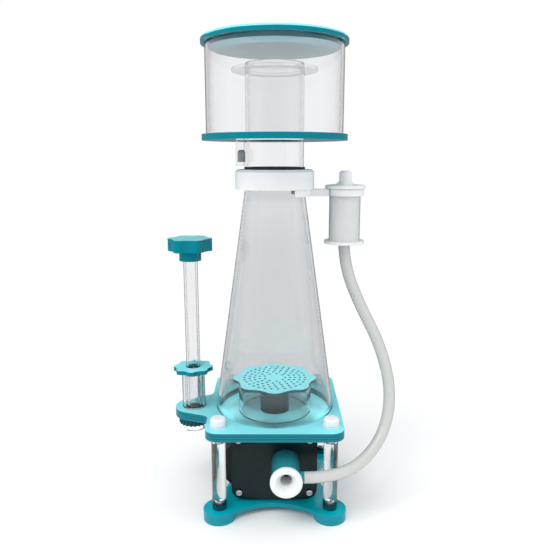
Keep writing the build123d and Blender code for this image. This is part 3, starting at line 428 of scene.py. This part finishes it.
def finish_of(kind):
    """A finish by its name, made once."""
    if kind not in FINISHES:
        p = bpy.context.scene.skimmer_plastic
        makers = {
            "sheet": lambda: sheet_of("plain"),
            "base": lambda: sheet_of("base"),
            "deck": lambda: sheet_of("deck"),
            "dark": lambda: sheet_of("dark"),
            "clear": lambda: clear_of("clear"),
            "rod": lambda: clear_of("rod"),
            "cone": lambda: clear_of("cone"),
            "teal": lambda: clear_of("teal"),
            "white": lambda: moulded_finish(
                "satin_white", p.white, p.white_shade, 0.32, grain=0.05, coat=0.15
            ),
            "frosted": lambda: milky_finish_with_painted_rims("frosted_tube", tuple(p.frosted), tuple(p.frosted_rim_painted_shade), 0.3, 0.2),
            "black": lambda: moulded_finish(
                "pump_black", p.black_shade, p.black, 0.30, 240.0, 0.10, 0.0008, specular=0.22
            ),
            "hose": lambda: milky_finish_with_painted_rims("silicone_hose", tuple(p.hose), tuple(p.hose_rim_painted_shade), 0.25, 0.25),
            "plug": lambda: moulded_finish(
                "grey_plug", p.rubber, [v * 0.8 for v in p.rubber], 0.5, grain=0.1
            ),
            "rubber": lambda: moulded_finish("black_rubber", (0.035,) * 3, (0.02,) * 3, 0.6, grain=0.2),
            "foam": lambda: moulded_finish(
                "open_foam", (0.62, 0.62, 0.60), (0.38, 0.38, 0.37), 0.95, 500.0, 0.9
            ),
            "steel": lambda: moulded_finish(
                "turned_steel", (0.62, 0.63, 0.64), (0.50, 0.51, 0.52), 0.3, 300.0, metallic=1.0
            ),
            "ceramic": lambda: moulded_finish("ground_ceramic", (0.80, 0.78, 0.72), (0.72, 0.70, 0.65), 0.35),
            "magnet": lambda: moulded_finish(
                "rotor_magnet_grey", (0.09, 0.09, 0.10), (0.05, 0.05, 0.06), 0.45, grain=0.1
            ),
            "stator": lambda: moulded_finish(
                "stator_resin", (0.30, 0.27, 0.24), (0.18, 0.16, 0.15), 0.5, grain=0.3
            ),
            "impeller": lambda: moulded_finish("impeller_teal", (0.02, 0.45, 0.52), (0.01, 0.36, 0.42), 0.3),
        }
        FINISHES[kind] = makers[kind]()
    return FINISHES[kind]


def dress_all(pairs):
    """Finishes by name for lists of CAD nodes."""
    for kind, names in pairs.items():
        dress(names, finish_of(kind))


# ---- operators ----------------------------------------------------------------------------------
class SkimmerStand(bpy.types.Operator):
    """Finishes the feet, posts and deck"""

    bl_idname = "skimmer.stand"
    bl_label = "Stand"

    def execute(self, context):
        dress_all({
            "base": ["foot_pads", "bottom_plate"],
            "steel": ["foot_screws"],
            "dark": ["post_seats"],
            "rod": ["clear_posts"],
            "deck": ["deck_floor_plate", "deck_channel_plate", "deck_top_plate"],
            "white": ["deck_washers"],
        })
        return {"FINISHED"}


class SkimmerThumbScrews(bpy.types.Operator):
    """Finishes the four thumb screws"""

    bl_idname = "skimmer.thumb_screws"
    bl_label = "Thumb screws"

    def execute(self, context):
        dress_all({"white": [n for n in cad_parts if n.startswith("thumb_screw_")]})
        return {"FINISHED"}


class SkimmerTower(bpy.types.Operator):
    """Finishes the cone, bubble plate, riser and collar"""

    bl_idname = "skimmer.tower"
    bl_label = "Tower"

    def execute(self, context):
        dress_all({
            "cone": ["cone_shell"],
            "clear": ["bubble_ring"],
            "sheet": ["bubble_plate"],
            "black": ["riser_pipe"],
            "white": ["collar"],
            "rubber": ["neck_seal"],
        })
        return {"FINISHED"}


class SkimmerCup(bpy.types.Operator):
    """Finishes the cup, its neck, drain and lid"""

    bl_idname = "skimmer.cup"
    bl_label = "Cup and lid"

    def execute(self, context):
        dress_all({
            "clear": ["splash_ring", "drain_spigot", "neck_tube", "cup_wall"],
            "sheet": ["cup_floor", "lid_cover", "lid_plug"],
            "plug": ["drain_plug"],
        })
        s = context.scene.skimmer_clear
        clear_tube("neck_tube_lathed", "neck_tube", s.neck_wall, "cup")
        clear_tube("cup_wall_lathed", "cup_wall", s.cup_wall, "cup")
        return {"FINISHED"}


class SkimmerValve(bpy.types.Operator):
    """Finishes the water-level valve"""

    bl_idname = "skimmer.valve"
    bl_label = "Valve"

    def execute(self, context):
        dress_all({
            "clear": ["valve_tube", "valve_stem", "outlet_stub"],
            "sheet": ["star_nut", "valve_knob"],
            "dark": ["lock_ring"],
            "white": ["valve_slider"],
            "rubber": ["slider_seal"],
        })
        s = context.scene.skimmer_clear
        clear_tube("valve_tube_lathed", "valve_tube", s.valve_wall, "stand", "rod")
        clear_tube("valve_stem_lathed", "valve_stem", s.stem_wall, "valve_handle", "rod")
        return {"FINISHED"}


class SkimmerSilencer(bpy.types.Operator):
    """Finishes the air silencer and its bracket"""

    bl_idname = "skimmer.silencer"
    bl_label = "Silencer"

    def execute(self, context):
        dress_all({
            "white": ["silencer_bracket", "silencer_base", "silencer_cap"],
            "frosted": ["silencer_tube"],
            "foam": ["silencer_foam"],
        })
        return {"FINISHED"}


class SkimmerPump(bpy.types.Operator):
    """Finishes the pump, its rotor and its intake"""

    bl_idname = "skimmer.pump"
    bl_label = "Pump"

    def execute(self, context):
        dress_all({
            "black": ["pump_volute", "pump_cover", "motor_housing", "motor_end_cap", "terminal_box"],
            "steel": ["cover_screws"],
            "stator": ["stator_core"],
            "ceramic": ["pump_shaft"],
            "rubber": ["front_bush", "rear_bush", "cable_gland", "pump_pads"],
            "magnet": ["rotor_magnet"],
            "impeller": ["needle_wheel"],
            "teal": ["venturi_body", "air_barb"],
            "white": ["intake_nozzle"],
        })
        return {"FINISHED"}


class SkimmerHose(bpy.types.Operator):
    """Draws the air hose from the silencer down to the barb"""

    bl_idname = "skimmer.hose"
    bl_label = "Air hose"

    def execute(self, context):
        s = context.scene.skimmer_hose
        curve = bpy.data.curves.new("air_hose_line", "CURVE")
        curve.dimensions = "3D"
        line = curve.splines.new("NURBS")
        line.points.add(len(HOSE_ROUTE) - 1)
        for point, place in zip(line.points, HOSE_ROUTE):
            point.co = (*place, 1.0)
        line.order_u = 3
        line.use_endpoint_u = True
        line.resolution_u = 16
        curve.bevel_depth = s.diameter / 2
        curve.bevel_resolution = 8
        curve.use_fill_caps = True
        hose = bpy.data.objects.new("air_hose_line", curve)
        context.scene.collection.objects.link(hose)
        curve.materials.append(finish_of("hose"))
        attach(hose, "stand")
        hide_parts("air_hose")
        dress(["air_hose"], finish_of("hose"))
        return {"FINISHED"}


def make_lamp(name, place, aim, size, power):
    """Soft square lamp that points at a place."""
    data = bpy.data.lights.new(name, "AREA")
    data.size = size
    data.energy = power
    lamp = bpy.data.objects.new(name, data)
    bpy.context.scene.collection.objects.link(lamp)
    lamp.location = place
    way = [a - b for a, b in zip(aim, place)]
    lamp.rotation_euler = Vector(way).to_track_quat("-Z", "Y").to_euler()
    return lamp


class SkimmerStage(bpy.types.Operator):
    """Builds the floor, the white room, the lamps and the camera"""

    bl_idname = "skimmer.stage"
    bl_label = "Stage"

    def execute(self, context):
        s = context.scene.skimmer_stage
        scene = context.scene
        half = s.floor_size
        mesh = bpy.data.meshes.new("floor")
        corners = [(-half, -half, 0), (half, -half, 0), (half, half, 0), (-half, half, 0)]
        mesh.from_pydata(corners, [], [(0, 1, 2, 3)])
        floor = bpy.data.objects.new("floor", mesh)
        scene.collection.objects.link(floor)
        mat, tree, shader = blank("floor_white")
        shade = mixed(tree, noise(tree, 3.0), (0.90, 0.90, 0.90, 1.0), (0.92, 0.92, 0.92, 1.0))
        tree.links.new(shade, shader.inputs["Base Color"])
        shader.inputs["Roughness"].default_value = 1.0
        shader.inputs["Specular IOR Level"].default_value = 0.0
        place = add(tree, "ShaderNodeTexCoord")
        away = add(tree, "ShaderNodeVectorMath", {0: place.outputs["Object"]}, operation="LENGTH")
        distance = {"Value": away.outputs["Value"]}
        fade = add(tree, "ShaderNodeMapRange", distance, interpolation_type="SMOOTHSTEP")
        fade.inputs["From Min"].default_value = s.shadow_reach * 0.45
        fade.inputs["From Max"].default_value = s.shadow_reach
        fade.inputs["To Min"].default_value = 1.0
        fade.inputs["To Max"].default_value = 0.0
        tree.links.new(fade.outputs["Result"], shader.inputs["Alpha"])
        mesh.materials.append(mat)

        world = bpy.data.worlds.new("white_room")
        world.use_nodes = True
        scene.world = world
        room = world.node_tree
        room.nodes.clear()
        path = add(room, "ShaderNodeLightPath")
        seen = add(room, "ShaderNodeMath", operation="MAXIMUM")
        room.links.new(path.outputs["Is Camera Ray"], seen.inputs[0])
        room.links.new(path.outputs["Is Transmission Ray"], seen.inputs[1])
        sky = add(room, "ShaderNodeMapRange", {"Value": path.outputs["Is Glossy Ray"]})
        sky.inputs["To Min"].default_value = s.sky
        sky.inputs["To Max"].default_value = s.mirrored
        inputs = {"Color": (0.98, 0.99, 1.0, 1.0), "Strength": sky.outputs["Result"]}
        soft = add(room, "ShaderNodeBackground", inputs)
        white = add(room, "ShaderNodeBackground", {"Color": (1.0, 1.0, 1.0, 1.0), "Strength": 1.0})
        both = add(room, "ShaderNodeMixShader", {"Fac": seen.outputs[0]})
        room.links.new(soft.outputs[0], both.inputs[1])
        room.links.new(white.outputs[0], both.inputs[2])
        out = add(room, "ShaderNodeOutputWorld")
        room.links.new(both.outputs[0], out.inputs["Surface"])

        lamps = [
            make_lamp("key_lamp", (-0.5, -0.8, 1.5), (0, 0, 0.2), 0.9, s.key),
            make_lamp("left_lamp", (-1.3, -0.5, 0.6), (0, 0, 0.25), 0.5, s.side),
            make_lamp("right_lamp", (1.3, -0.3, 0.7), (0, 0, 0.25), 0.5, s.side),
        ]
        inner = []
        top, aim = (AXIS_X, AXIS_Y, 0.33), (AXIS_X, AXIS_Y, 0.1)
        inner.append(make_lamp("cone_lamp", top, aim, 0.03, s.inner))
        for side in (-1, 1):
            place, aim = (AXIS_X + side * 0.046, -0.010, 0.127), (AXIS_X + side * 0.040, AXIS_Y, 0.09)
            inner.append(make_lamp("sump_lamp", place, aim, 0.012, s.inner * 0.03))
            place, aim = (AXIS_X + side * 0.020, -0.020, 0.127), (AXIS_X + side * 0.022, -0.022, 0.09)
            inner.append(make_lamp("ring_lamp", place, aim, 0.010, s.inner * 0.016))
        place, aim = (AXIS_X, -0.055, 0.40), (AXIS_X, AXIS_Y, 0.489)
        inner.append(make_lamp("cup_lamp", place, aim, 0.03, s.inner * 0.25))
        for lamp in (*lamps[1:], *inner):
            lamp.visible_glossy = False
        for lamp in (*lamps, *inner):
            lamp.visible_transmission = False

        data = bpy.data.cameras.new("camera")
        data.lens = s.focal
        data.sensor_width = SENSOR
        data.shift_x, data.shift_y = CAMERA_SHIFT
        camera = bpy.data.objects.new("camera", data)
        scene.collection.objects.link(camera)
        camera.location = CAMERA_PLACE
        camera.rotation_euler = (radians(90.0 - s.pitch), 0.0, 0.0)
        scene.camera = camera
        scene.view_settings.view_transform = "Standard"
        return {"FINISHED"}


OPERATORS = (
    SkimmerStand, SkimmerThumbScrews, SkimmerTower, SkimmerCup, SkimmerValve, SkimmerSilencer, SkimmerPump,
    SkimmerHose, SkimmerStage,
)
SETTINGS = {
    "skimmer_sheet": SkimmerSheetSettings,
    "skimmer_clear": SkimmerClearSettings,
    "skimmer_plastic": SkimmerPlasticSettings,
    "skimmer_hose": SkimmerHoseSettings,
    "skimmer_stage": SkimmerStageSettings,
}


class SkimmerPanel(bpy.types.Panel):
    """The skimmer's pieces and settings"""

    bl_idname = "VIEW3D_PT_skimmer"
    bl_label = "Protein skimmer"
    bl_space_type = "VIEW_3D"
    bl_region_type = "UI"
    bl_category = "Skimmer"

    def draw(self, context):
        for kind in OPERATORS:
            self.layout.operator(kind.bl_idname)
        for name in SETTINGS:
            group = getattr(context.scene, name)
            box = self.layout.box()
            for key in group.bl_rna.properties.keys():
                if key not in ("rna_type", "name"):
                    box.prop(group, key)


def register():
    """Registers the settings, operators and panel."""
    for kind in (*SETTINGS.values(), *OPERATORS, SkimmerPanel):
        bpy.utils.register_class(kind)
    for name, kind in SETTINGS.items():
        setattr(bpy.types.Scene, name, bpy.props.PointerProperty(type=kind))


def unregister():
    """Takes away what register() added."""
    for name in SETTINGS:
        delattr(bpy.types.Scene, name)
    for kind in reversed((*SETTINGS.values(), *OPERATORS, SkimmerPanel)):
        bpy.utils.unregister_class(kind)


def main():
    """Builds everything in order."""
    register()
    bpy.ops.skimmer.stand()
    bpy.ops.skimmer.thumb_screws()
    bpy.ops.skimmer.tower()
    bpy.ops.skimmer.cup()
    bpy.ops.skimmer.valve()
    bpy.ops.skimmer.silencer()
    bpy.ops.skimmer.pump()
    bpy.ops.skimmer.hose()
    bpy.ops.skimmer.stage()


if __name__ == "__main__":
    main()
